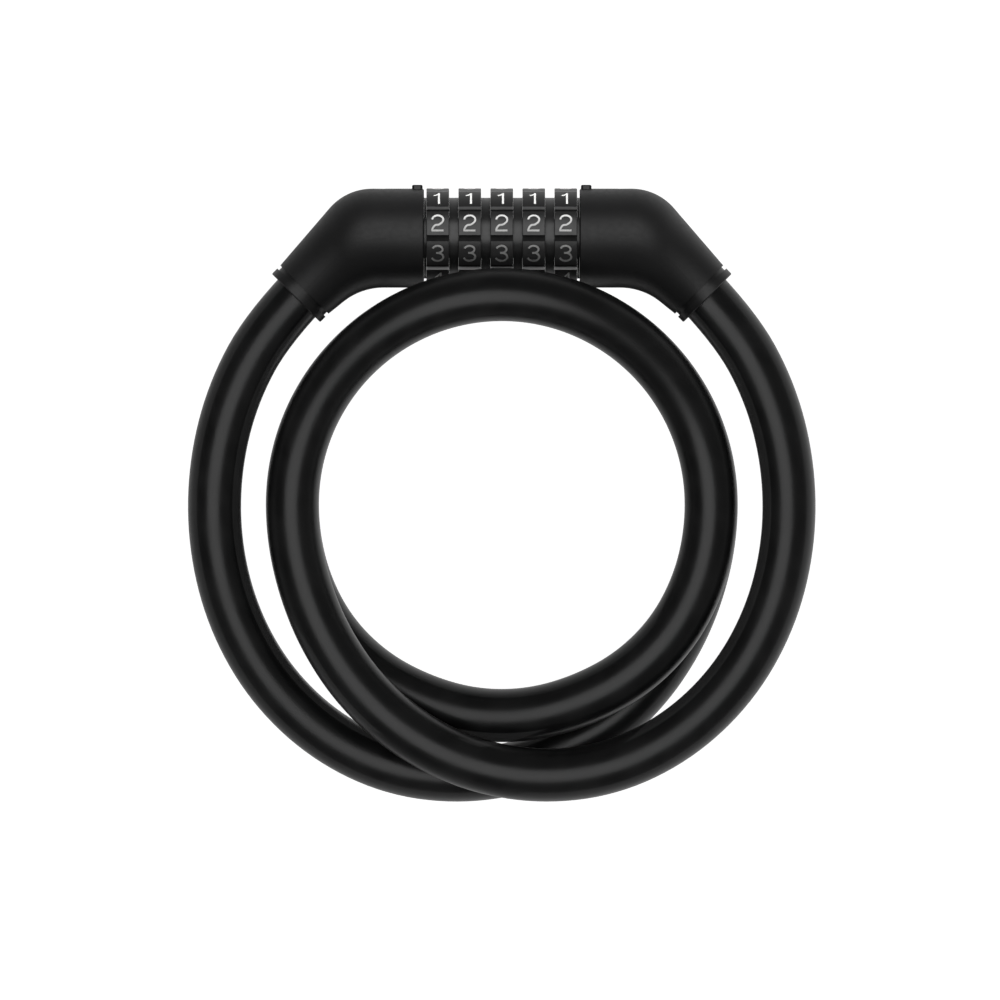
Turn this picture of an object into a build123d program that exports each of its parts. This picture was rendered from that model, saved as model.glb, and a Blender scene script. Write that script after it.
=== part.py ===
"""Five-dial combination lock on a coiled steel cable, in millimetres.

Frame: the coil lies flat. The origin is the coil's centre on the surface that it lies on, +X runs
along the lock head from the fixed half to the plug half, +Y from the coil's centre to the lock head,
+Z up. Angles round the coil are counted from +X towards +Y.
"""
from build123d import *
from math import cos, pi, radians, sin, tan
import os

# Lock head: one common axis along X
LOCK_Y = 59.8  # from the coil's centre to the head's axis
LOCK_Z = 18.9  # height of the head's axis
HEAD_R = 11.15  # straight part of both housings
FACE_X = 17.5  # end face of each housing, next to the dials
STRAIGHT_X = 26.0  # where each housing starts to bend
EDGE = 0.3  # chamfer round the end faces

# The bend of a housing in plan: each side runs straight, turns on an arc and runs straight to the
# collar. Start of the arc, its radius and how far it turns.
OUTER_BEND = (29.2, 12.6, 50.0)
INNER_BEND = (26.6, 14.4, 38.0)
SECTIONS = 10  # of the loft along the bend

# Cable
CABLE_R = 6.0  # outside of the jacket
BORE_R = 4.0  # inside of the jacket
CORE_R = 3.95  # steel rope
COIL_OUTER = 65.5  # line radius of the first and the last half turn
COIL_INNER = 47.1  # line radius of the turns between them
SPREAD_FROM, SPREAD_TO = 221.0, 355.0  # where the line moves from the outer radius to the inner
WAVES = [  # small departures of the line: angle, half width, amount
    (176.0, 45.0, -0.95), (250.0, 22.0, 0.3), (583.0, 40.0, 0.8), (630.0, 30.0, 0.6)]
FIRST_ANGLE = 135.0  # the line leaves the fixed half here
TURNS = 2.75
STEP = 15.0  # angle between two corners of the line
LAYER_2 = 18.7  # height of the line where it lies on the first layer
ARCH = 13.3  # how far the line rises above that to pass over the lock head
MITRE = 45.0  # the cable enters each housing along the diagonal

# Cable ends, as depths behind the outer face of the collar
COLLAR_T = 1.75
GROOVE_TO = 2.7  # the housing's end
SPIGOT_TO = 5.7
JACKET_TO = 5.5
CORE_TO = 12.6
FERRULE = (5.9, 13.0)
FERRULE_HOLE_TO = 13.2
COLLAR_R, COLLAR_NECK_R, SPIGOT_R, COLLAR_BORE_R = 7.7, 7.15, 6.9, 6.2
FERRULE_R, FERRULE_BORE_R, FERRULE_WAIST_R = 5.2, 4.05, 4.5
FERRULE_PIN_R, FERRULE_PIN_AT, FERRULE_PIN_TOP, FERRULE_PIN_FOOT = 0.8, 9.4, 5.0, -6.2

# Dials and what turns with them
DIALS = 5
PITCH = 7.2
DIAL_W, DIAL_R, DIAL_BORE_R = 5.1, 11.2, 6.4
DIGITS = 10
GRIP_W, GRIP_DEPTH = 1.4, 1.5
DIAL_EDGE = 0.12
RING_R, RING_BORE_R, POCKET_R = 6.38, 4.65, 5.7
WEB_T = 1.9  # the wall of a code ring that the gate goes through
SCALLOP_R, SCALLOP_AT = 0.55, 4.75

# Barrel and what is fixed to it
BARREL_R, BARREL_BORE_R = 4.6, 2.6
BARREL_FROM, BARREL_TO, BARREL_BOTTOM = -30.9, 19.5, -27.5
SLOT_W, SLOT_FROM = 2.4, -18.5
PASSAGE_W, PASSAGE_R = 2.6, 5.6  # the way for the teeth through rings and spacers
SPACER_R, SPACER_GAP = 9.1, 0.01  # the gap is beside each dial
SIDE_GAP = 0.05
LEAF_W, LEAF_T, LEAF_LOW, LEAF_TOP = 2.0, 0.35, 3.6, 4.45
LEAF_SLOT_W, LEAF_SLOT_Y = 2.4, 3.5
CLIP = (17.6, 18.2)
CLIP_R, CLIP_INNER_R, CLIP_SLOT_R = 5.6, 4.25, 4.2
SPRING_R, SPRING_WIRE, SPRING_PITCH, SPRING_L = 1.9, 0.25, 1.3, 7.8

# Locking pin, fixed in the plug half
PIN_R, PIN_TIP = 2.5, -18.9
TOOTH_W, TOOTH_T, TOOTH_R, TOOTH_BACK = 2.2, 2.0, 5.4, 1.9
ROOT_R, ROOT_FROM, ROOT_TO = 3.98, 21.0, 29.8
SOCKET_R, SOCKET_TO = 5.75, 20.5
CROSS_R, CROSS_BORE_R, CROSS_TOP, CROSS_FOOT = 1.0, 0.6, 3.1, -9.4
FIT = 0.02  # radial clearance of a part that is fixed in a hole
BARREL_PIN_X, PLUG_PIN_X = -29.2, 26.5

# Index marks beside the dials
MARK_L, MARK_W, MARK_TOP = 2.4, 3.0, 12.0
MARK_X = 19.0


def ease(t):
    """Half a cosine wave from 0 to 1."""
    return (1 - cos(pi * min(max(t, 0.0), 1.0))) / 2


def wave(angle, middle, half_width, amount):
    return amount * (1 - ease(abs(angle - middle) / half_width))


def on_axis(x, sideways=0.0, up=0.0):
    return Pos(x, LOCK_Y + sideways, LOCK_Z + up)


def rod(x0, x1, radius):
    """Round bar on the lock head's axis."""
    across = Plane(origin=(x0, LOCK_Y, LOCK_Z), x_dir=(0, 1, 0), z_dir=(1, 0, 0))
    return extrude(across * Circle(radius), amount=x1 - x0)


def tube(x0, x1, outer, inner):
    return rod(x0, x1, outer) - rod(x0 - 1, x1 + 1, inner)


def passage(x0, x1, width=PASSAGE_W, reach=PASSAGE_R):
    """The slot towards the coil that the teeth of the locking pin move through."""
    return on_axis((x0 + x1) / 2, -reach / 2) * Box(x1 - x0, reach, width)


def bored(x, radius, top, bottom=-HEAD_R - 2):
    """A hole or pin along Z through the head's axis, blind at its upper end."""
    return on_axis(x, 0, (top + bottom) / 2) * Cylinder(radius, top - bottom)


# ---- Cable -------------------------------------------------------------------------------------


def line_radius(angle):
    """Plan radius of the cable's line. The second half of the coil mirrors the first."""
    last = 2 * FIRST_ANGLE + 360 * TURNS
    first_half = min(angle, last - angle)
    t = (first_half - SPREAD_FROM) / (SPREAD_TO - SPREAD_FROM)
    radius = COIL_OUTER + (COIL_INNER - COIL_OUTER) * ease(t)
    return radius + sum(wave(first_half, *shape) for shape in WAVES)


def line_height(angle):
    """Down to the surface, flat for most of a turn, up to the second layer, over the lock head."""
    start, end = FIRST_ANGLE + STEP / 2, FIRST_ANGLE + 360 * TURNS - STEP / 2
    down = (CABLE_R - LOCK_Z) * ease((angle - start) / 112.5)
    up = (LAYER_2 - CABLE_R) * ease((angle - 570) / 120)
    arch = wave(angle, 810, 90, ARCH)
    back = (LOCK_Z - LAYER_2) * ease((angle - 990) / (end - 990))
    return LOCK_Z + down + up + arch + back


def line_corner(angle):
    """A corner of the line, set outwards so that the bend through it lies on the line's radius."""
    out = line_radius(angle) / cos(radians(STEP / 2))
    return Vector(out * cos(radians(angle)), out * sin(radians(angle)), line_height(angle))


def cable_end(depth):
    """Frame of the cable's end in the plug half, its Z pointing into the housing."""
    inward = Vector(-cos(radians(MITRE)), sin(radians(MITRE)), 0)
    exit_point = Vector(COIL_OUTER * cos(radians(MITRE)), COIL_OUTER * sin(radians(MITRE)), LOCK_Z)
    return Plane(origin=exit_point + inward * depth, x_dir=(0, 0, 1), z_dir=inward)


def cable_corners(depth):
    end = cable_end(depth).origin
    count = round(360 * TURNS / STEP)
    coil = [line_corner(FIRST_ANGLE + STEP * (k + 0.5)) for k in range(count)]
    return [Vector(-end.X, end.Y, end.Z)] + coil + [end]


def bend_radii(corners):
    radii = []
    for a, b, c in zip(corners, corners[1:], corners[2:]):
        half_turn = radians((b - a).get_angle(c - b)) / 2
        radii.append(0.45 * min((b - a).length, (c - b).length) / tan(half_turn))
    return radii


def cable_line(depth):
    return FilletPolyline(*cable_corners(depth), radius=bend_radii(cable_corners(JACKET_TO)))


def cable_solid(line, radius):
    section = Plane(origin=line @ 0, z_dir=line % 0) * Circle(radius)
    return sweep(section, path=line)


# ---- Housings and cable ends: made on the plug side, mirrored for the fixed side ----------------


def bend_side(bend, y, target):
    """One side of the bend in plan, from the straight part to a point on the collar's edge."""
    start, radius, turn = bend
    before = Edge.make_line((STRAIGHT_X, y), (start, y))
    arc = CenterArc((start, y - radius), radius, 90, -turn)
    return Wire([before, arc.edge(), Edge.make_line(arc @ 1, target)])


def housing_body():
    """Straight round head that bends and narrows into the cable's collar, round all the way."""
    straight = rod(FACE_X, STRAIGHT_X, HEAD_R)
    straight = chamfer(straight.edges().group_by(Axis.X)[0], EDGE)
    end = cable_end(GROOVE_TO).origin
    half = Vector(cos(radians(MITRE)), sin(radians(MITRE)), 0) * COLLAR_R
    outer = bend_side(OUTER_BEND, LOCK_Y + HEAD_R, (end.X + half.X, end.Y + half.Y))
    inner = bend_side(INNER_BEND, LOCK_Y - HEAD_R, (end.X - half.X, end.Y - half.Y))
    sections = []
    for k in range(SECTIONS + 1):
        far, near = outer @ (k / SECTIONS), inner @ (k / SECTIONS)
        across = far - near
        facing = Vector(across.Y, -across.X, 0)
        middle = (far + near) * 0.5 + Vector(0, 0, LOCK_Z)
        sections.append(Plane(origin=middle, x_dir=(0, 0, 1), z_dir=facing) * Circle(across.length / 2))
    return straight + loft(sections)


def cable_sleeve(start, stop, outer, inner):
    """Ring round the cable's end, between two depths."""
    ring = extrude(cable_end(start) * Circle(outer), amount=stop - start)
    return ring - extrude(cable_end(start - 1) * Circle(inner), amount=stop - start + 2)


def ferrule_pin(radius, top, bottom):
    """Upright pin that crosses the ferrule's waist on the side away from the coil."""
    frame = cable_end(FERRULE_PIN_AT)
    place = frame.origin + frame.y_dir * (FERRULE_WAIST_R + SIDE_GAP + FERRULE_PIN_R)
    return Pos(place.X, place.Y, LOCK_Z + (top + bottom) / 2) * Cylinder(radius, top - bottom)


def housing_shell(inner_holes):
    """The housing with its cable hole, the pin holes and the holes on the head's axis."""
    body = housing_body()
    spigot_hole = Circle(SPIGOT_R + SIDE_GAP)
    body -= extrude(cable_end(GROOVE_TO - 1) * spigot_hole, amount=SPIGOT_TO - GROOVE_TO + 1.1)
    body -= extrude(cable_end(GROOVE_TO) * Circle(FERRULE_R + 0.1), amount=FERRULE_HOLE_TO - GROOVE_TO)
    body -= ferrule_pin(FERRULE_PIN_R + FIT, FERRULE_PIN_TOP + 0.2, -HEAD_R)
    for hole in inner_holes:
        body -= hole
    return body


def collar():
    ring = cable_sleeve(0, COLLAR_T, COLLAR_R, COLLAR_BORE_R)
    ring = chamfer(ring.edges().filter_by(GeomType.CIRCLE).group_by(Axis.Y)[0], 0.2)
    neck = cable_sleeve(COLLAR_T, GROOVE_TO, COLLAR_NECK_R, COLLAR_BORE_R)
    return ring + neck + cable_sleeve(GROOVE_TO, SPIGOT_TO, SPIGOT_R, COLLAR_BORE_R)


def ferrule():
    start, stop = FERRULE
    sleeve = cable_sleeve(start, stop, FERRULE_R, FERRULE_BORE_R)
    return sleeve - cable_sleeve(FERRULE_PIN_AT - 0.9, FERRULE_PIN_AT + 0.9, FERRULE_R + 1, FERRULE_WAIST_R)


def index_mark():
    """Raised pad beside the dials that shows which row of digits counts."""
    pad = on_axis(MARK_X, HEAD_R - 0.2 + (MARK_TOP - HEAD_R + 0.2) / 2) * Box(
        MARK_L, MARK_TOP - HEAD_R + 0.2, MARK_W)
    pad = fillet(pad.edges().filter_by(Axis.Y), 0.6)
    pad = fillet(pad.faces().sort_by(Axis.Y)[-1].edges(), 0.35)
    return pad - rod(FACE_X, STRAIGHT_X, HEAD_R)


# ---- On the head's axis -------------------------------------------------------------------------


def dial(x):
    """Number dial: a ring with ten grip grooves between its ten digit faces."""
    ring = rod(x - DIAL_W / 2, x + DIAL_W / 2, DIAL_R)
    ring = chamfer(ring.edges().filter_by(GeomType.CIRCLE), DIAL_EDGE)
    ring -= rod(x - DIAL_W, x + DIAL_W, DIAL_BORE_R)
    for k in range(DIGITS):
        turned = on_axis(x) * Rot(360 / DIGITS * k, 0, 0)
        ring -= turned * Pos(0, 0, DIAL_R) * Box(DIAL_W + 1, GRIP_W, 2 * GRIP_DEPTH)
    return ring


def code_ring(x):
    """Sleeve in a dial: a pocket for one tooth and a web with the gate and ten click scallops."""
    web_from = x + DIAL_W / 2 - WEB_T
    ring = tube(x - DIAL_W / 2, x + DIAL_W / 2, RING_R, RING_BORE_R)
    ring -= rod(x - DIAL_W, web_from, POCKET_R)
    ring -= passage(web_from - 1, x + DIAL_W)
    for k in range(DIGITS):
        turned = on_axis(x) * Rot(360 / DIGITS * k, 0, 0)
        ring -= turned * Pos(0, SCALLOP_AT, 0) * Rot(0, 90, 0) * Cylinder(SCALLOP_R, 2 * DIAL_W)
    return ring


def spacer(x0, x1):
    return tube(x0, x1, SPACER_R, RING_BORE_R) - passage(x0 - 1, x1 + 1)


def lock_barrel():
    """Fixed tube that the dials turn on, slotted along its length for the pin's teeth."""
    body = rod(BARREL_FROM, BARREL_TO, BARREL_R)
    body = chamfer(body.edges().filter_by(GeomType.CIRCLE), 0.3)
    body -= rod(BARREL_BOTTOM, BARREL_TO + 1, BARREL_BORE_R)
    body -= passage(SLOT_FROM, BARREL_TO + 1, SLOT_W, BARREL_R + 1)
    leaf_from, leaf_to = -FACE_X, FACE_X - 0.3
    body -= on_axis((leaf_from + leaf_to) / 2, LEAF_SLOT_Y + 1) * Box(leaf_to - leaf_from, 2, LEAF_SLOT_W)
    body -= tube(CLIP[0] - SIDE_GAP, CLIP[1] + SIDE_GAP, BARREL_R + 1, CLIP_SLOT_R)
    return body - bored(BARREL_PIN_X, CROSS_R + FIT, CROSS_TOP + 0.1)


def detent_leaf(centres):
    """Click spring: a strip in the barrel with one hump under each code ring's web."""
    half, rise, low = 0.45, 0.5, LEAF_LOW
    upper = [(0.6 - FACE_X, low + LEAF_T)]
    for x in centres:
        web = x + (DIAL_W - WEB_T) / 2
        upper += [(web - half - rise, low + LEAF_T), (web - half, LEAF_TOP)]
        upper += [(web + half, LEAF_TOP), (web + half + rise, low + LEAF_T)]
    upper.append((FACE_X - 0.4, low + LEAF_T))
    lower = [(x, y - LEAF_T) for x, y in reversed(upper)]
    side = Plane(origin=(0, LOCK_Y, LOCK_Z - LEAF_W / 2), x_dir=(1, 0, 0), z_dir=(0, 0, 1))
    return extrude(side * make_face(Polyline(*upper, *lower, close=True)), amount=LEAF_W)


def retaining_clip():
    """Open ring that keeps the dials on the barrel, its gap where the teeth pass."""
    return tube(CLIP[0], CLIP[1], CLIP_R, CLIP_INNER_R) - passage(CLIP[0] - 1, CLIP[1] + 1, 3.0, CLIP_R + 1)


def ejector_spring():
    """Push-out spring between the barrel's bottom and the pin's tip."""
    start = Plane(origin=(BARREL_BOTTOM + 0.3, LOCK_Y, LOCK_Z), x_dir=(0, 1, 0), z_dir=(1, 0, 0))
    line = start * Helix(pitch=SPRING_PITCH, height=SPRING_L, radius=SPRING_R)
    return sweep(Plane(origin=line @ 0, z_dir=line % 0) * Circle(SPRING_WIRE), path=line)


def locking_pin(centres):
    """Toothed pin: one tooth stands behind each code ring's web when the lock is shut."""
    body = rod(PIN_TIP, ROOT_FROM + 0.1, PIN_R)
    body = chamfer(body.edges().group_by(Axis.X)[0], 0.8)
    body += chamfer(rod(ROOT_FROM, ROOT_TO, ROOT_R).edges().filter_by(GeomType.CIRCLE), 0.4)
    for x in centres:
        body += on_axis(x - TOOTH_BACK + TOOTH_T / 2, -TOOTH_R / 2) * Box(TOOTH_T, TOOTH_R, TOOTH_W)
    return body - bored(PLUG_PIN_X, CROSS_R + FIT, CROSS_TOP + 0.1)


def cross_pin(x):
    """Slotted spring pin, driven in from the underside."""
    body = bored(x, CROSS_R, CROSS_TOP, CROSS_FOOT) - bored(x, CROSS_BORE_R, CROSS_TOP + 1)
    middle = (CROSS_TOP + CROSS_FOOT) / 2
    return body - on_axis(x, CROSS_R / 2, middle) * Box(0.3, CROSS_R, CROSS_TOP - CROSS_FOOT + 2)


def build():
    centres = [PITCH * (k - (DIALS - 1) / 2) for k in range(DIALS)]
    face = centres[-1] + DIAL_W / 2
    parts = {
        "housing_left": mirror(housing_shell([
            rod(FACE_X - 1, -BARREL_FROM + 0.1, BARREL_R + FIT),
            bored(-BARREL_PIN_X, CROSS_R + FIT, CROSS_TOP + 0.2)]), about=Plane.YZ),
        "housing_right": housing_shell([
            rod(FACE_X - 1, SOCKET_TO, SOCKET_R),
            rod(FACE_X, ROOT_TO + 0.2, ROOT_R + FIT),
            bored(PLUG_PIN_X, CROSS_R + FIT, CROSS_TOP + 0.2)]),
        "lock_barrel": lock_barrel(),
        "barrel_pin": cross_pin(BARREL_PIN_X),
        "detent_spring": detent_leaf(centres),
        "retaining_clip": retaining_clip(),
        "ejector_spring": ejector_spring(),
        "washer_left": spacer(-FACE_X + SPACER_GAP, -face - SPACER_GAP),
        "washer_right": spacer(face + SPACER_GAP, FACE_X - SPACER_GAP),
        "locking_pin": locking_pin(centres),
        "plug_pin": cross_pin(PLUG_PIN_X),
    }
    for side, make in (("left", lambda s: mirror(s, about=Plane.YZ)), ("right", lambda s: s)):
        parts["collar_" + side] = make(collar())
        parts["ferrule_" + side] = make(ferrule())
        pin = ferrule_pin(FERRULE_PIN_R, FERRULE_PIN_TOP, FERRULE_PIN_FOOT)
        parts["ferrule_pin_" + side] = make(pin)
        parts["index_mark_" + side] = make(index_mark())
    for k, x in enumerate(centres):
        parts[f"dial_{k + 1}"] = dial(x)
        parts[f"code_ring_{k + 1}"] = code_ring(x)
        if k:
            low = centres[k - 1] + DIAL_W / 2 + SPACER_GAP
            parts[f"spacer_{k}"] = spacer(low, x - DIAL_W / 2 - SPACER_GAP)
    jacket_line, core_line = cable_line(JACKET_TO), cable_line(CORE_TO)
    parts["cable_core"] = cable_solid(core_line, CORE_R)
    parts["cable_jacket"] = cable_solid(jacket_line, CABLE_R) - cable_solid(jacket_line, BORE_R)
    return parts, jacket_line


def report_cable(parts, line):
    print("bend radii", [round(radius, 1) for radius in bend_radii(cable_corners(JACKET_TO))])
    section = pi * (CABLE_R**2 - BORE_R**2)
    print("free length", round(line.length - 2 * JACKET_TO, 1))
    ratio = parts["cable_jacket"].volume / section / line.length
    print("jacket volume / (section x length)", round(ratio, 5))


os.makedirs("parts", exist_ok=True)
solids, cable = build()
report_cable(solids, cable)
for name, shape in solids.items():
    export_step(shape, f"parts/{name}.step")
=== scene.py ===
"""Looks of the five-dial cable lock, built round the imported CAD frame. Metres, Z up."""
from math import ceil, cos, pi, radians, sin

import bpy
import numpy as np
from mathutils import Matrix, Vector, geometry


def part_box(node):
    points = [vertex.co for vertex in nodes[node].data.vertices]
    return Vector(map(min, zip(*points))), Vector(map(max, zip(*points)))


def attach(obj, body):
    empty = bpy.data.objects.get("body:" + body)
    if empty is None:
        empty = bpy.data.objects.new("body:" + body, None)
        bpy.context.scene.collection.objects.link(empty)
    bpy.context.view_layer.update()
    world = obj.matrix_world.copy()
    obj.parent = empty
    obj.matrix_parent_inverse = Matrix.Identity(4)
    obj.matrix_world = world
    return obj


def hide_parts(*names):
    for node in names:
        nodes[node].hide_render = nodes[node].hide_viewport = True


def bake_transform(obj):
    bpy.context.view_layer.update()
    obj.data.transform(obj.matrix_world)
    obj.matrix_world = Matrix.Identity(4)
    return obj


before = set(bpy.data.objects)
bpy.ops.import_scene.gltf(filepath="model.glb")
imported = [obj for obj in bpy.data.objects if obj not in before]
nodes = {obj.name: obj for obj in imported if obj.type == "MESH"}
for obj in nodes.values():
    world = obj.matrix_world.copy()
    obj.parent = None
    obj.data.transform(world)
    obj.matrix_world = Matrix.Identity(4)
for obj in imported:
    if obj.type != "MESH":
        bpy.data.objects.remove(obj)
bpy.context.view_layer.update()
MM = 0.001

# ---- Sizes taken from the frame ------------------------------------------------------------------


def middle(node):
    low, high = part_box(node)
    return (low + high) / 2


dial_low, dial_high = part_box("dial_3")
AXIS_Y, AXIS_Z = middle("dial_3").y, middle("dial_3").z
DIAL_R = (dial_high.y - dial_low.y) / 2
DIALS = 5
DIGITS = 10

# Grip grooves of a dial: the depths between which the colour changes, and the colours. The light grey on
# the groove walls is painted light, and the near-black at the groove bottom is painted shade
# painted light on the groove walls and painted shade at the groove bottom, set by depth below the face
WALL_FROM, WALL_TO, GROOVE_WALL_PAINTED_LIGHT = 0.04 * MM, 0.10 * MM, (0.42, 0.42, 0.42)
BOTTOM_FROM, BOTTOM_TO, GROOVE_BOTTOM_PAINTED_SHADE = 1.10 * MM, 1.25 * MM, (0.003, 0.003, 0.003)
BOTTOM_EXTRA_ROUGHNESS = 0.5

# Digits, and how far their print stands out of the dial's face and reaches into it
DIGIT_H, DIGIT_W, STROKE = 4.0 * MM, 3.1 * MM, 0.43 * MM
PRINT_OUT, PRINT_IN = 0.025 * MM, 0.05 * MM
PRINT_STEP = 0.2 * MM  # longest piece of a stroke

# The cable's line, the same numbers as in the part's source
COIL_OUTER, COIL_INNER = 65.5 * MM, 47.1 * MM
SPREAD_FROM, SPREAD_TO = 221.0, 355.0
WAVES = [(176.0, 45.0, -0.95 * MM), (250.0, 22.0, 0.3 * MM),
         (583.0, 40.0, 0.8 * MM), (630.0, 30.0, 0.6 * MM)]
FIRST_ANGLE, TURNS, STEP = 135.0, 2.75, 15.0
LOCK_Z, LAYER_2, ARCH = 18.9 * MM, 18.7 * MM, 13.3 * MM
DOWN_SPAN = 112.5  # the first stretch, from the lock head down to the surface
UP_FROM, UP_SPAN = 570, 120  # from the first layer to the second
ARCH_AT, ARCH_SPAN = 810, 90  # over the lock head
BACK_FROM = 990  # from the second layer to the plug half
CABLE_R, BORE_R, ROPE_R = 6.0 * MM, 4.0 * MM, 3.9 * MM
MITRE = radians(45)
JACKET_TO, ROPE_TO = 5.5 * MM, 12.6 * MM

# Meshes of the cable
CURVE_STEPS = 8  # steps between two control points of the line
JACKET_SIDES = 48
STRANDS, STRAND_SIDES, LAY = 8, 10, 42 * MM
STRAND_SQUEEZE = 1.04  # strands press into each other
HEART_GAP = 0.9  # how much of a strand's radius the heart leaves free

# Textures: features per metre, and how much light the jacket stops
TONE_PATCHES, GLOSS_PATCHES, GRAIN = 60, 900, 3500
METAL_LINES, INK_GRAIN, FLOOR_PATCHES = 700, 2500, 3
JACKET_OPACITY = 0.91

# The room that the gloss shows: from and to of the direction's part, and the brightness at those ends
ROOM_BY_HEIGHT = (0.25, -0.6, 0.13, 0.85)
ROOM_BY_SIDE = (-1.0, 1.0, 0.45, 1.15)

# Floor: radii of its rings, where it starts to turn up and how fast
FLOOR_RADII, FLOOR_SIDES = [0.2, 0.5, 1, 2, 3.5, 5, 6.5, 8, 9.5], 96
RISE_FROM, RISE = 2, 0.0225
FLOOR_GLOW = 1.05

# Camera: the height of the view, its middle and its distance
VIEW_SIZE, VIEW_MIDDLE, VIEW_DISTANCE = 0.225, (-0.0004, 0.00088), 1.0
CLIP_NEAR, CLIP_FAR = 0.05, 50

# ---- Camera: straight down on the coil, with no perspective --------------------------------------

camera = bpy.data.objects.new("camera", bpy.data.cameras.new("camera"))
bpy.context.scene.collection.objects.link(camera)
camera.data.type = "ORTHO"
camera.data.ortho_scale = VIEW_SIZE
camera.location = (*VIEW_MIDDLE, VIEW_DISTANCE)
camera.data.clip_start, camera.data.clip_end = CLIP_NEAR, CLIP_FAR
bpy.context.scene.camera = camera

# ---- The cable's line ----------------------------------------------------------------------------


def ease(share):
    """From 0 to 1 as the share does, smooth at both ends."""
    return (1 - cos(pi * min(max(share, 0.0), 1.0))) / 2


def wave(angle, centre, half_width, amount):
    """A smooth hump, highest at the centre."""
    return amount * (1 - ease(abs(angle - centre) / half_width))


def line_radius(angle):
    last = 2 * FIRST_ANGLE + 360 * TURNS
    first_half = min(angle, last - angle)
    share = (first_half - SPREAD_FROM) / (SPREAD_TO - SPREAD_FROM)
    radius = COIL_OUTER + (COIL_INNER - COIL_OUTER) * ease(share)
    return radius + sum(wave(first_half, *shape) for shape in WAVES)


def line_height(angle):
    start, end = FIRST_ANGLE + STEP / 2, FIRST_ANGLE + 360 * TURNS - STEP / 2
    down = (CABLE_R - LOCK_Z) * ease((angle - start) / DOWN_SPAN)
    up = (LAYER_2 - CABLE_R) * ease((angle - UP_FROM) / UP_SPAN)
    arch = wave(angle, ARCH_AT, ARCH_SPAN, ARCH)
    back = (LOCK_Z - LAYER_2) * ease((angle - BACK_FROM) / (end - BACK_FROM))
    return LOCK_Z + down + up + arch + back


def line_corner(angle):
    out = line_radius(angle) / cos(radians(STEP / 2))
    return Vector((out * cos(radians(angle)), out * sin(radians(angle)), line_height(angle)))


def cable_end(depth):
    out = Vector((cos(MITRE), sin(MITRE), 0)) * COIL_OUTER
    return Vector((out.x, out.y, LOCK_Z)) + Vector((-cos(MITRE), sin(MITRE), 0)) * depth


def cable_line(name, depth):
    """The smooth line of the cable between two depths in its housings, as closely spaced points."""
    end = cable_end(depth)
    count = round(360 * TURNS / STEP)
    corners = [Vector((-end.x, end.y, end.z))]
    corners += [line_corner(FIRST_ANGLE + STEP * (k + 0.5)) for k in range(count)]
    corners.append(end)
    curve = bpy.data.curves.new(name, "CURVE")
    curve.dimensions = "3D"
    curve.resolution_u = CURVE_STEPS
    spline = curve.splines.new("NURBS")
    spline.points.add(len(corners) - 1)
    for point, corner in zip(spline.points, corners):
        point.co = (*corner, 1)
    spline.order_u = 3
    spline.use_endpoint_u = True
    guide = bpy.data.objects.new(name, curve)
    bpy.context.scene.collection.objects.link(guide)
    bpy.context.view_layer.update()
    mesh = bpy.data.meshes.new_from_object(guide)
    line = np.array([v.co[:] for v in mesh.vertices])
    bpy.data.objects.remove(guide)
    return line


def carried_frames(line):
    """Tangent and two normals at each point, carried along without twisting."""
    tangent = np.gradient(line, axis=0)
    tangent /= np.linalg.norm(tangent, axis=1)[:, None]
    normal = np.zeros_like(line)
    carried = np.array([0.0, 0.0, 1.0])
    for k, ahead in enumerate(tangent):
        carried = carried - ahead * carried.dot(ahead)
        carried /= np.linalg.norm(carried)
        normal[k] = carried
    return tangent, normal, np.cross(tangent, normal)


def along(line):
    """Length of the line up to each of its points."""
    return np.concatenate([[0], np.cumsum(np.linalg.norm(np.diff(line, axis=0), axis=1))])


# ---- Mesh helpers --------------------------------------------------------------------------------


def new_piece(name, vertices, faces, smooth=True):
    mesh = bpy.data.meshes.new(name)
    mesh.from_pydata([tuple(v) for v in vertices], [], faces)
    mesh.validate()
    if smooth:
        mesh.shade_smooth()
    piece = bpy.data.objects.new(name, mesh)
    bpy.context.scene.collection.objects.link(piece)
    return piece


def rings(line, radius, sides):
    """Circles round the line."""
    _, up, side = carried_frames(line)
    angle = np.linspace(0, 2 * pi, sides, endpoint=False)[None, :, None]
    return line[:, None] + radius * (np.cos(angle) * up[:, None] + np.sin(angle) * side[:, None])


def skin(first, count, sides, flip=False):
    """Quads between rings of points that follow each other."""
    faces = []
    for i in range(count - 1):
        for j in range(sides):
            a, b = first + i * sides + j, first + i * sides + (j + 1) % sides
            quad = (a, b, b + sides, a + sides)
            faces.append(quad[::-1] if flip else quad)
    return faces


def add_tube_uv(mesh, count, sides, lengths):
    """UV: once round the tube across, metres along the cable up. Corners on the seam reach 1."""
    layer = mesh.uv_layers.new(name="tube")
    for polygon in mesh.polygons:
        columns = [mesh.loops[i].vertex_index % sides for i in polygon.loop_indices]
        seam = max(columns) - min(columns) > sides / 2
        for i, column in zip(polygon.loop_indices, columns):
            row = (mesh.loops[i].vertex_index // sides) % count
            across = (column + (sides if seam and column == 0 else 0)) / sides
            layer.data[i].uv = (across, lengths[row])


def jacket_mesh(line):
    """Hollow tube: outer wall, inner wall and a flat ring at each end."""
    sides, count = JACKET_SIDES, len(line)
    outer = rings(line, CABLE_R, sides).reshape(-1, 3)
    inner = rings(line, BORE_R, sides).reshape(-1, 3)
    faces = skin(0, count, sides) + skin(len(outer), count, sides, flip=True)
    last = (count - 1) * sides
    for j in range(sides):
        k = (j + 1) % sides
        faces.append((k, j, len(outer) + j, len(outer) + k))
        faces.append((last + j, last + k, len(outer) + last + k, len(outer) + last + j))
    piece = new_piece("cable_jacket_tube", np.concatenate([outer, inner]), faces)
    add_tube_uv(piece.data, count, sides, along(line))
    return piece


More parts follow.
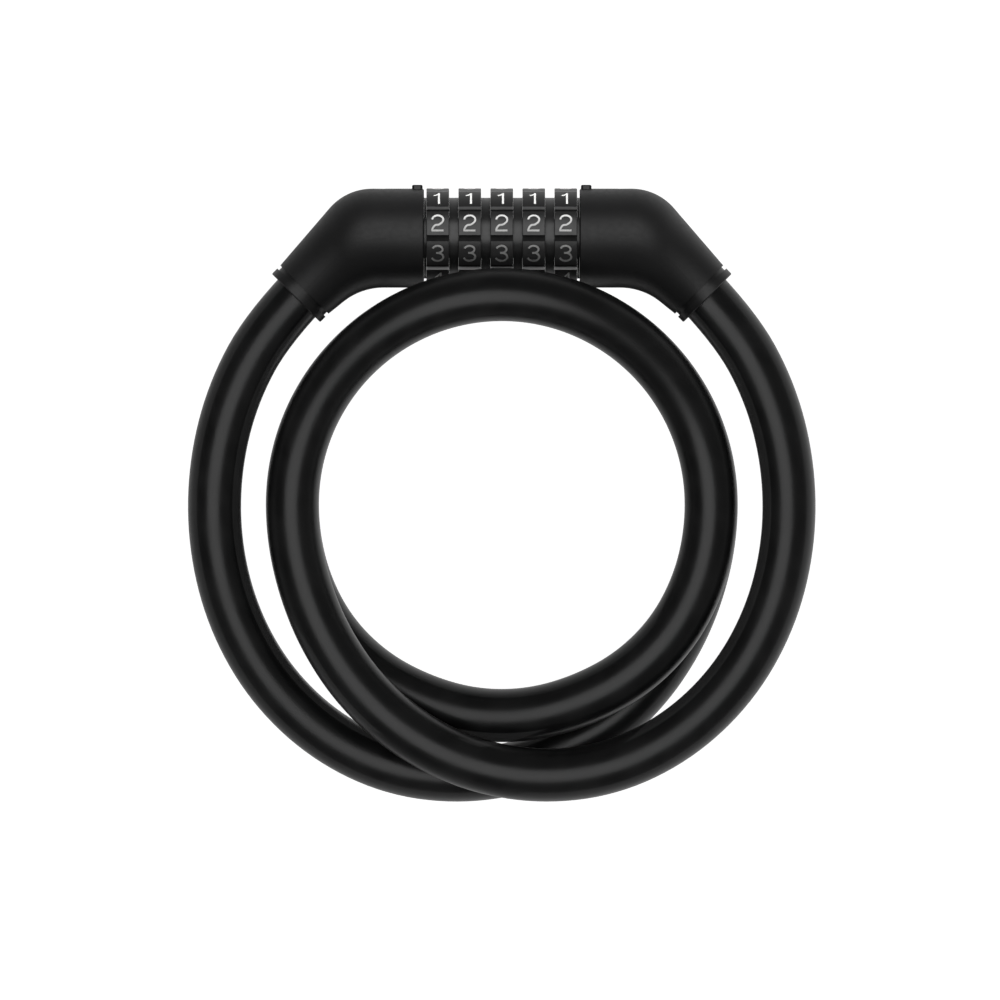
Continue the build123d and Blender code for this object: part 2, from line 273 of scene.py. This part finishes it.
def rope_mesh(line):
    """Stranded rope: a heart and eight outer strands laid in a helix."""
    strand_r = ROPE_R * sin(pi / STRANDS) / (1 + sin(pi / STRANDS)) * STRAND_SQUEEZE
    path_r = ROPE_R - strand_r
    lengths = along(line)
    _, up, side = carried_frames(line)
    vertices, faces = [], []
    paths = [line]
    for strand in range(STRANDS):
        turn = (2 * pi * lengths / LAY + 2 * pi * strand / STRANDS)[:, None]
        paths.append(line + path_r * (np.cos(turn) * up + np.sin(turn) * side))
    for number, path in enumerate(paths):
        radius = strand_r if number else path_r - strand_r * HEART_GAP
        first = len(vertices)
        vertices += list(rings(path, radius, STRAND_SIDES).reshape(-1, 3))
        faces += skin(first, len(path), STRAND_SIDES)
        faces.append(tuple(range(first, first + STRAND_SIDES))[::-1])
        faces.append(tuple(range(len(vertices) - STRAND_SIDES, len(vertices))))
    return new_piece("cable_rope_strands", vertices, faces)


# ---- Digits: strokes of even width, wrapped round the dial's face --------------------------------


def arc(x, y, rx, ry, start, stop, count=26):
    """Points on an ellipse between two angles in degrees, counted from +X towards +Y."""
    turns = [radians(start + (stop - start) * k / (count - 1)) for k in range(count)]
    return [(x + rx * cos(a), y + ry * sin(a)) for a in turns]


def digit_strokes(digit):
    """Centre lines of a digit's strokes in a box from 0 to 1 across and 0 to 1 up."""
    if digit == 0:
        return [arc(0.5, 0.5, 0.5, 0.5, 90, 450, 60)]
    if digit == 1:
        return [[(0.16, 0.76), (0.34, 0.79), (0.5, 0.87), (0.6, 1.0)], [(0.6, 1.06), (0.6, -0.07)]]
    if digit == 2:
        bowl = arc(0.5, 0.71, 0.46, 0.29, 178, -40)
        foot = arc(0.56, -0.06, 0.54, 0.46, 116, 173, 14)
        return [bowl + [(0.72, 0.44), (0.56, 0.37)] + foot, [(-0.03, 0.0), (0.98, 0.0)]]
    if digit == 3:
        top = arc(0.48, 0.77, 0.42, 0.23, 165, -90)
        low = arc(0.48, 0.27, 0.48, 0.27, 90, -168)
        return [top + [(0.36, 0.54)], low]
    if digit == 4:
        return [[(0.74, 1.0), (0.02, 0.29)], [(0.0, 0.27), (1.02, 0.27)], [(0.74, 1.06), (0.74, -0.07)]]
    if digit == 5:
        bowl = arc(0.48, 0.32, 0.48, 0.32, 140, -162, 36)
        return [[(0.9, 1.0), (0.18, 1.0)], [(0.2, 1.05), (0.1, 0.5)], bowl]
    if digit == 6:
        bowl = arc(0.5, 0.31, 0.48, 0.31, 0, 360, 44)
        return [bowl, arc(0.53, 0.5, 0.51, 0.5, 38, 200, 30)]
    if digit == 7:
        return [[(0.0, 1.0), (0.98, 1.0)], [(0.97, 1.0), (0.66, 0.66), (0.44, 0.3), (0.36, -0.07)]]
    if digit == 8:
        return [arc(0.5, 0.77, 0.41, 0.23, 0, 360, 40), arc(0.5, 0.27, 0.48, 0.27, 0, 360, 44)]
    return [[(1 - x, 1 - y) for x, y in stroke] for stroke in digit_strokes(6)]


def ribbon(stroke):
    """Quads of even width along a stroke, cut fine enough to bend with the dial."""
    points = np.array(stroke) * [DIGIT_W - STROKE, DIGIT_H - STROKE]
    fine = [points[0]]
    for a, b in zip(points, points[1:]):
        pieces = max(1, ceil(np.linalg.norm(b - a) / PRINT_STEP))
        fine += [a + (b - a) * (k + 1) / pieces for k in range(pieces)]
    fine = np.array(fine)
    ahead = np.gradient(fine, axis=0)
    if np.linalg.norm(fine[0] - fine[-1]) < 1e-7:
        ahead[0] = ahead[-1] = fine[1] - fine[-2]
    ahead /= np.linalg.norm(ahead, axis=1)[:, None]
    across = np.stack([-ahead[:, 1], ahead[:, 0]], axis=1) * STROKE / 2
    left, right = fine + across, fine - across
    return [(left[k], right[k], right[k + 1], left[k + 1]) for k in range(len(fine) - 1)]


def flat_digit(digit):
    """A digit's triangles, its strokes merged and the space that they enclose left open."""
    corners, faces = [], []
    for stroke in digit_strokes(digit):
        for quad in ribbon(stroke):
            first = len(corners)
            corners += [Vector(p) for p in quad]
            faces.append([first, first + 1, first + 2, first + 3])
    points, _, triangles, _, _, sources = geometry.delaunay_2d_cdt(corners, [], faces, 1, 1e-8)
    shift = Vector((DIGIT_W - STROKE, DIGIT_H - STROKE)) / 2
    inked = [triangle for triangle, source in zip(triangles, sources) if source]
    return [point - shift for point in points], inked


def print_digits(name, x_middle):
    """All ten digits of a dial as thin raised print, evenly spaced, with 0 facing +Y."""
    vertices, faces = [], []
    for digit in range(DIGITS):
        flat, triangles = flat_digit(digit)
        facing = radians(90 - 360 / DIGITS * digit)
        first, count = len(vertices), len(flat)
        for radius in (DIAL_R + PRINT_OUT, DIAL_R - PRINT_IN):
            for v in flat:
                angle = facing + v.y / DIAL_R
                y, z = AXIS_Y + radius * sin(angle), AXIS_Z + radius * cos(angle)
                vertices.append((x_middle + v.x, y, z))
        edges = {}
        for triangle in triangles:
            faces.append(tuple(first + i for i in triangle))
            faces.append(tuple(first + count + i for i in reversed(triangle)))
            edges.update(dict.fromkeys(zip(triangle, triangle[1:] + triangle[:1])))
        for a, b in edges:
            if (b, a) not in edges:
                faces.append((first + b, first + a, first + count + a, first + count + b))
    return new_piece(name, vertices, faces, smooth=False)


# ---- Materials -----------------------------------------------------------------------------------


class Material:
    """A node material with a Principled shader and a few ways to drive it."""

    def __init__(self, name):
        self.material = bpy.data.materials.new(name)
        self.material.use_nodes = True
        self.tree = self.material.node_tree
        self.shader = self.tree.nodes["Principled BSDF"]

    def node(self, kind, **settings):
        made = self.tree.nodes.new(kind)
        for key, value in settings.items():
            if key in made.inputs.keys():
                made.inputs[key].default_value = value
            else:
                setattr(made, key, value)
        return made

    def link(self, source, target):
        self.tree.links.new(source, target)

    def set(self, **values):
        for key, value in values.items():
            self.shader.inputs[key.replace("_", " ")].default_value = value

    def place(self):
        """Texture place in metres, in the frame's own axes."""
        return self.node("ShaderNodeTexCoord").outputs["Object"]

    def math(self, operation, a, b=0.0):
        made = self.node("ShaderNodeMath", operation=operation)
        for socket, value in zip(made.inputs, (a, b)):
            if isinstance(value, (int, float)):
                socket.default_value = value
            else:
                self.link(value, socket)
        return made.outputs[0]

    def round_tube(self, around, per_metre, slant):
        """Texture place on a tube: closed round it, and along it with features that lean a little."""
        split = self.node("ShaderNodeSeparateXYZ")
        self.link(self.node("ShaderNodeTexCoord").outputs["UV"], split.inputs["Vector"])
        turn = self.math("MULTIPLY", split.outputs["X"], 2 * pi)
        across, up = self.math("SINE", turn), self.math("COSINE", turn)
        length = self.math("MULTIPLY", split.outputs["Y"], per_metre)
        joined = self.node("ShaderNodeCombineXYZ")
        self.link(self.math("MULTIPLY", across, around), joined.inputs["X"])
        self.link(self.math("MULTIPLY", up, around), joined.inputs["Y"])
        self.link(self.math("ADD", length, self.math("MULTIPLY", across, slant)), joined.inputs["Z"])
        return joined.outputs["Vector"]

    def noise(self, where, scale, detail):
        made = self.node("ShaderNodeTexNoise", Scale=scale, Detail=detail)
        self.link(where, made.inputs["Vector"])
        return made.outputs["Fac"]

    def remap(self, value, low, high, to_low, to_high):
        made = self.node("ShaderNodeMapRange")
        ends = {"From Min": low, "From Max": high, "To Min": to_low, "To Max": to_high}
        for key, number in ends.items():
            made.inputs[key].default_value = number
        self.link(value, made.inputs["Value"])
        return made.outputs["Result"]

    def ramp(self, value, low, low_colour, high, high_colour):
        made = self.node("ShaderNodeValToRGB")
        stops = ((low, low_colour), (high, high_colour))
        for element, (position, colour) in zip(made.color_ramp.elements, stops):
            element.position = position
            element.color = (*colour, 1)
        self.link(value, made.inputs["Fac"])
        return made.outputs["Color"]

    def parts(self, vector):
        split = self.node("ShaderNodeSeparateXYZ")
        self.link(vector, split.inputs["Vector"])
        return [split.outputs[axis] for axis in "XYZ"]

    def mixed(self, factor, low, high_colour):
        """A colour that goes from a linked one to a fixed one."""
        made = self.node("ShaderNodeMix", data_type="RGBA")
        first, second = [i for i in made.inputs if i.enabled and i.name in ("A", "B")]
        self.link(factor, made.inputs["Factor"])
        self.link(low, first)
        second.default_value = (*high_colour, 1)
        return next(o for o in made.outputs if o.enabled)

    def bump(self, height, distance):
        made = self.node("ShaderNodeBump", Strength=1.0, Distance=distance)
        self.link(height, made.inputs["Height"])
        self.link(made.outputs["Normal"], self.shader.inputs["Normal"])


def moulded_plastic(name, dark, light, smooth, rough, grain=0.006 * MM, ior=1.45):
    """Black plastic: fine mould grain, slow change of tone, uneven gloss."""
    look = Material(name)
    look.set(IOR=ior)
    where = look.place()
    tone = look.noise(where, TONE_PATCHES, 4)
    look.link(look.ramp(tone, 0.35, dark, 0.65, light), look.shader.inputs["Base Color"])
    gloss = look.noise(where, GLOSS_PATCHES, 3)
    look.link(look.remap(gloss, 0.3, 0.7, smooth, rough), look.shader.inputs["Roughness"])
    look.bump(look.noise(where, GRAIN, 2), grain)
    return look.material


def dial_plastic(name):
    """Dial plastic: satin digit faces, and grip grooves with painted light (light grey) on the walls and
    painted shade (near-black) on a matt bottom.
    """
    look = Material(name)
    look.set(IOR=1.6)
    where = look.place()
    patches = look.noise(where, TONE_PATCHES, 4)
    tone = look.ramp(patches, 0.35, (0.012, 0.012, 0.0122), 0.65, (0.018, 0.018, 0.0182))
    gloss = look.remap(look.noise(where, GLOSS_PATCHES, 3), 0.3, 0.7, 0.3, 0.38)
    coordinates = look.node("ShaderNodeTexCoord")
    _, y, z = look.parts(coordinates.outputs["Object"])
    y, z = look.math("SUBTRACT", y, AXIS_Y), look.math("SUBTRACT", z, AXIS_Z)
    squares = look.math("ADD", look.math("MULTIPLY", y, y), look.math("MULTIPLY", z, z))
    depth = look.math("SUBTRACT", DIAL_R, look.math("SQRT", squares))
    sideways = look.math("ABSOLUTE", look.parts(coordinates.outputs["Normal"])[0])
    on_tread = look.math("LESS_THAN", sideways, 0.5)
    # painted light: the groove walls are coloured light grey to stand in for the light that falls on
    # them
    wall = look.math("MULTIPLY", on_tread, look.remap(depth, WALL_FROM, WALL_TO, 0, 1))
    # painted shade: the groove bottom is coloured near-black to stand in for the shade deep in the
    # groove
    bottom = look.math("MULTIPLY", on_tread, look.remap(depth, BOTTOM_FROM, BOTTOM_TO, 0, 1))
    tone = look.mixed(bottom, look.mixed(wall, tone, GROOVE_WALL_PAINTED_LIGHT), GROOVE_BOTTOM_PAINTED_SHADE)
    look.link(tone, look.shader.inputs["Base Color"])
    extra = look.math("MULTIPLY", bottom, BOTTOM_EXTRA_ROUGHNESS)
    look.link(look.math("ADD", gloss, extra), look.shader.inputs["Roughness"])
    look.bump(look.noise(where, GRAIN, 2), 0.003 * MM)
    return look.material


def jacket_material():
    """Smoke-black PVC that lets a little light through, with slow changes of tone and gloss along it."""
    look = Material("smoke_jacket")
    look.set(IOR=1.45)
    swell = look.noise(look.round_tube(around=0.9, per_metre=150, slant=0.6), 1.0, 1)
    tone = look.ramp(swell, 0.35, (0.0065, 0.0065, 0.0067), 0.65, (0.0110, 0.0110, 0.0112))
    look.link(tone, look.shader.inputs["Base Color"])
    look.link(look.remap(swell, 0.25, 0.75, 0.28, 0.34), look.shader.inputs["Roughness"])
    look.bump(swell, 0.006 * MM)
    clear = look.node("ShaderNodeBsdfTransparent")
    see_through = look.node("ShaderNodeMixShader", Fac=JACKET_OPACITY)
    look.link(clear.outputs[0], see_through.inputs[1])
    look.link(look.shader.outputs[0], see_through.inputs[2])
    look.link(see_through.outputs[0], look.tree.nodes["Material Output"].inputs["Surface"])
    return look.material


def metal(name, colour, smooth, rough):
    """Turned or drawn metal with fine lines and slightly uneven colour."""
    look = Material(name)
    look.set(Metallic=1.0)
    where = look.place()
    tone = look.noise(where, METAL_LINES, 4)
    dark = tuple(0.75 * c for c in colour)
    look.link(look.ramp(tone, 0.3, dark, 0.7, colour), look.shader.inputs["Base Color"])
    look.link(look.remap(tone, 0.3, 0.7, smooth, rough), look.shader.inputs["Roughness"])
    look.bump(tone, 0.01 * MM)
    return look.material


def print_material():
    """White pad print: slightly uneven ink, satin."""
    look = Material("white_print")
    where = look.place()
    ink = look.noise(where, INK_GRAIN, 3)
    tone = look.ramp(ink, 0.3, (0.62, 0.62, 0.61), 0.7, (0.72, 0.72, 0.71))
    look.link(tone, look.shader.inputs["Base Color"])
    look.link(look.remap(ink, 0.3, 0.7, 0.35, 0.5), look.shader.inputs["Roughness"])
    look.bump(ink, 0.004 * MM)
    return look.material


# ---- Making --------------------------------------------------------------------------------------

jacket_line = cable_line("jacket_guide", JACKET_TO)
rope_line = cable_line("rope_guide", ROPE_TO)
jacket = jacket_mesh(jacket_line)
rope = rope_mesh(rope_line)
jacket.data.materials.append(jacket_material())
rope.data.materials.append(metal("rope_steel", (0.32, 0.32, 0.33), 0.3, 0.45))
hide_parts("cable_jacket")
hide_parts("cable_core")
for cable in (jacket, rope):
    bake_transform(cable)

soft_tones = (0.010, 0.010, 0.0103), (0.014, 0.014, 0.0143)
satin_tones = (0.012, 0.012, 0.0122), (0.018, 0.018, 0.0182)
gloss_tones = (0.006, 0.006, 0.006), (0.009, 0.009, 0.009)
housing_black = moulded_plastic("soft_black", *soft_tones, 0.42, 0.5)
collar_black = moulded_plastic("collar_black", *soft_tones, 0.35, 0.42)
dial_black = dial_plastic("dial_black")
spacer_black = moulded_plastic("spacer_black", *satin_tones, 0.3, 0.36, grain=0.002 * MM, ior=1.6)
gloss_black = moulded_plastic("gloss_black", *gloss_tones, 0.12, 0.2, grain=0.001 * MM)
plated_steel = metal("plated_steel", (0.6, 0.6, 0.61), 0.25, 0.38)
spring_steel = metal("spring_steel", (0.5, 0.5, 0.5), 0.2, 0.32)
brass = metal("turned_brass", (0.78, 0.6, 0.3), 0.22, 0.36)
finish_of = {
    "housing": housing_black, "collar": collar_black, "dial": dial_black, "spacer": spacer_black,
    "washer": spacer_black, "index_mark": gloss_black, "code_ring": brass, "detent": spring_steel,
    "ejector": spring_steel, "retaining": spring_steel,
}
for name, node in nodes.items():
    finish = next((look for start, look in finish_of.items() if name.startswith(start)), plated_steel)
    node.data.materials.clear()
    node.data.materials.append(finish)

white = print_material()
for number in range(1, DIALS + 1):
    digits = print_digits(f"digits_{number}", middle(f"dial_{number}").x)
    digits.data.materials.append(white)
    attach(digits, f"dial_{number}_set")

# ---- Floor and light -----------------------------------------------------------------------------


def floor():
    """Pale round floor that turns up a little far away. The gloss doesn't show it."""
    vertices = [(0, 0, 0)]
    for radius in FLOOR_RADII:
        lift = RISE * max(0, radius - RISE_FROM) ** 2
        for j in range(FLOOR_SIDES):
            angle = 2 * pi * j / FLOOR_SIDES
            vertices.append((radius * cos(angle), radius * sin(angle), lift))
    faces = [(0, 1 + j, 1 + (j + 1) % FLOOR_SIDES) for j in range(FLOOR_SIDES)]
    for i in range(len(FLOOR_RADII) - 1):
        for j in range(FLOOR_SIDES):
            a = 1 + i * FLOOR_SIDES + j
            b = 1 + i * FLOOR_SIDES + (j + 1) % FLOOR_SIDES
            faces.append((a, a + FLOOR_SIDES, b + FLOOR_SIDES, b))
    made = new_piece("floor", vertices, faces)
    look = Material("pale_floor")
    patches = look.noise(look.place(), FLOOR_PATCHES, 3)
    tone = look.ramp(patches, 0.3, (0.40, 0.40, 0.40), 0.7, (0.42, 0.42, 0.42))
    look.link(tone, look.shader.inputs["Base Color"])
    look.set(Roughness=0.9, Emission_Color=(1, 1, 1, 1), Emission_Strength=FLOOR_GLOW)
    made.data.materials.append(look.material)
    made.visible_glossy = False


def softbox(name, azimuth, elevation, distance, width, radiance, lit):
    """Round light that faces the coil, given by how bright its surface is.
    Azimuth counts from +X towards +Y. It lights only the pieces in lit."""
    light = bpy.data.lights.new(name, "AREA")
    light.shape = "DISK"
    light.size = width
    light.energy = radiance * pi * pi * (width / 2) ** 2
    made = bpy.data.objects.new(name, light)
    level = distance * cos(radians(elevation))
    made.location = (level * cos(radians(azimuth)), level * sin(radians(azimuth)),
                     distance * sin(radians(elevation)))
    made.rotation_euler = made.location.to_track_quat("Z", "Y").to_euler()
    pieces = bpy.data.collections.new(name + "_lit")
    for piece in lit:
        pieces.objects.link(piece)
    made.light_linking.receiver_collection = pieces
    bpy.context.scene.collection.objects.link(made)


def room():
    """What the gloss shows besides the lights: dim above, lighter below and on the plug's side.
    Behind the object it is as pale as the floor."""
    world = bpy.data.worlds.new("room")
    world.use_nodes = True
    nodes_of, links = world.node_tree.nodes, world.node_tree.links
    split = nodes_of.new("ShaderNodeSeparateXYZ")
    links.new(nodes_of.new("ShaderNodeTexCoord").outputs["Generated"], split.inputs["Vector"])
    factors = []
    for axis, ends in (("Z", ROOM_BY_HEIGHT), ("X", ROOM_BY_SIDE)):
        ramp = nodes_of.new("ShaderNodeMapRange")
        for socket, number in zip(("From Min", "From Max", "To Min", "To Max"), ends):
            ramp.inputs[socket].default_value = number
        links.new(split.outputs[axis], ramp.inputs["Value"])
        factors.append(ramp.outputs["Result"])
    product = nodes_of.new("ShaderNodeMath")
    product.operation = "MULTIPLY"
    links.new(factors[0], product.inputs[0])
    links.new(factors[1], product.inputs[1])
    shown = nodes_of.new("ShaderNodeMath")
    shown.operation = "MAXIMUM"
    links.new(product.outputs[0], shown.inputs[0])
    links.new(nodes_of.new("ShaderNodeLightPath").outputs["Is Camera Ray"], shown.inputs[1])
    links.new(shown.outputs[0], nodes_of["Background"].inputs["Color"])
    bpy.context.scene.world = world


def named(start):
    return [item for item in bpy.data.objects if item.type == "MESH" and item.name.startswith(start)]


floor()
# name, azimuth and elevation in degrees, distance, width, brightness, the pieces that it lights
softbox("overhead", 220, 79.5, 2.4, 2.35, 1.8, [jacket, rope])
softbox("head_overhead", 90, 71, 2.2, 2.4, 1.65, list(nodes.values()))
softbox("front", 90, 19, 2.2, 1.3, 13.5, named("digits_"))
room()
bpy.context.scene.view_settings.view_transform = "Standard"
